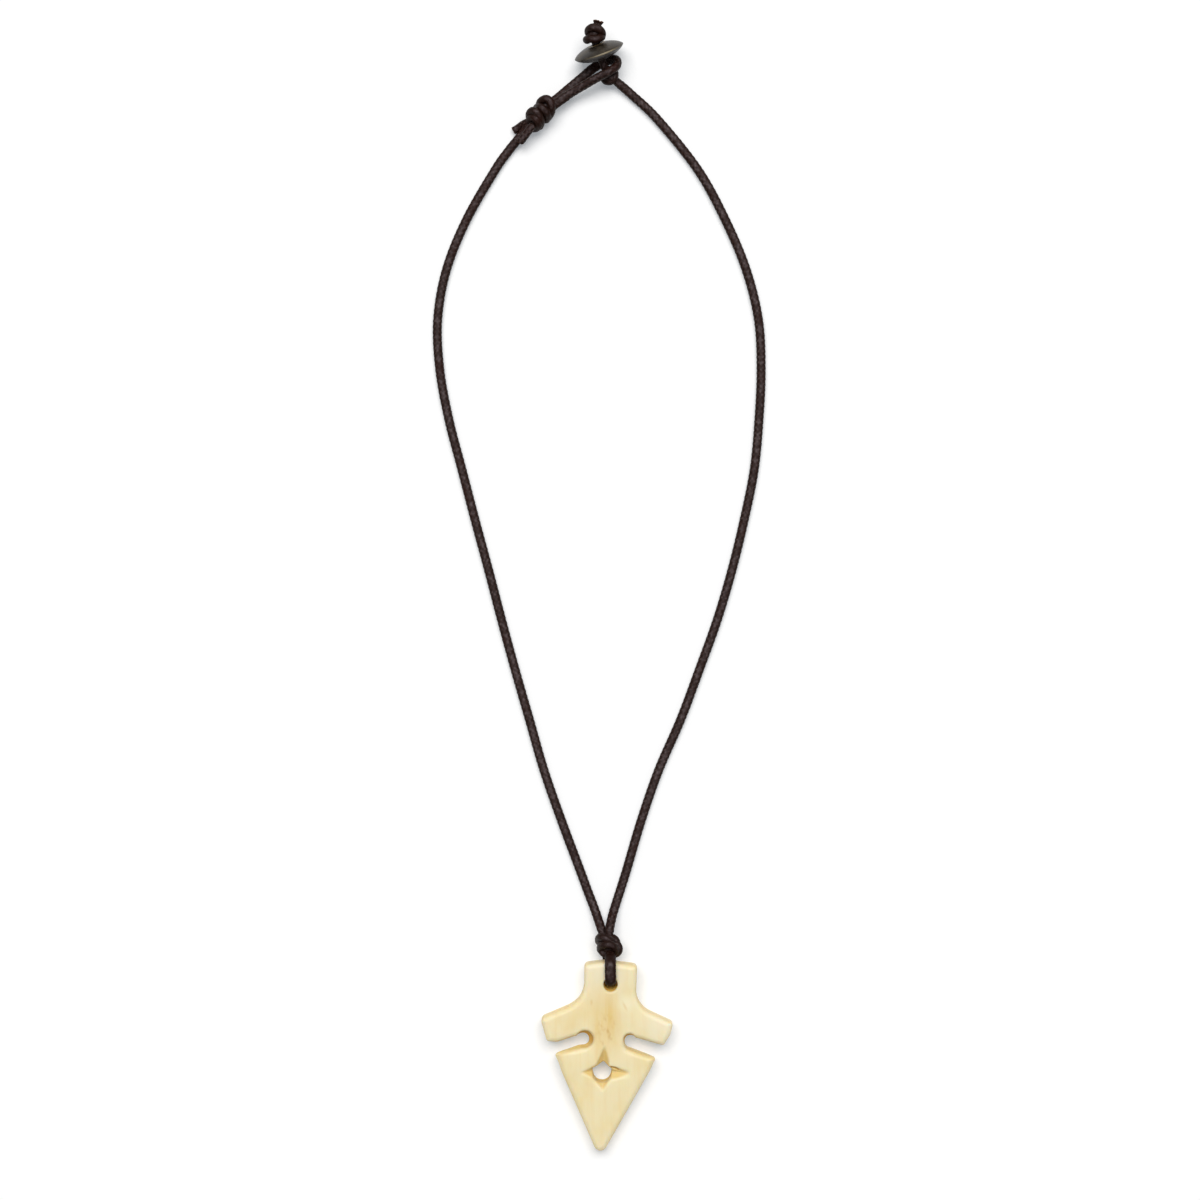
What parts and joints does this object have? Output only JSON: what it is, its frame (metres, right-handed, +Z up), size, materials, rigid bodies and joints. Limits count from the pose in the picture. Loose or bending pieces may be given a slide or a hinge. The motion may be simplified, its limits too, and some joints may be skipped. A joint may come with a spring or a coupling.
{
  "type": "bone pendant necklace",
  "caption": "Flat arrow-shaped carved bone pendant with side arms and a pierced star, on a dark knotted waxed cord closed by a loop and a lens-shaped bead.",
  "frame": {"origin": "on the surface that the necklace lies on, midway between the pendant's point and the bead", "axes": "+Y runs up the pendant from its point to the tab and on to the bead, +Z is up out of the pendant's front face, +X is to the right as seen from above"},
  "size_m": [0.0763, 0.2579, 0.0112],
  "materials": {
    "bone": "polished bone",
    "cord": "waxed braided cotton",
    "horn": "polished dark horn"
  },
  "bodies": {
    "root": {"pendant": "bone", "bead": "horn", "pendant_bight": "cord", "pendant_knot": "cord", "cord_left": "cord", "cord_right": "cord", "loop_knot": "cord", "clasp_loop": "cord", "under_knot": "cord", "toggle_neck": "cord", "stopper_knot": "cord"}
  },
  "joints": []
}
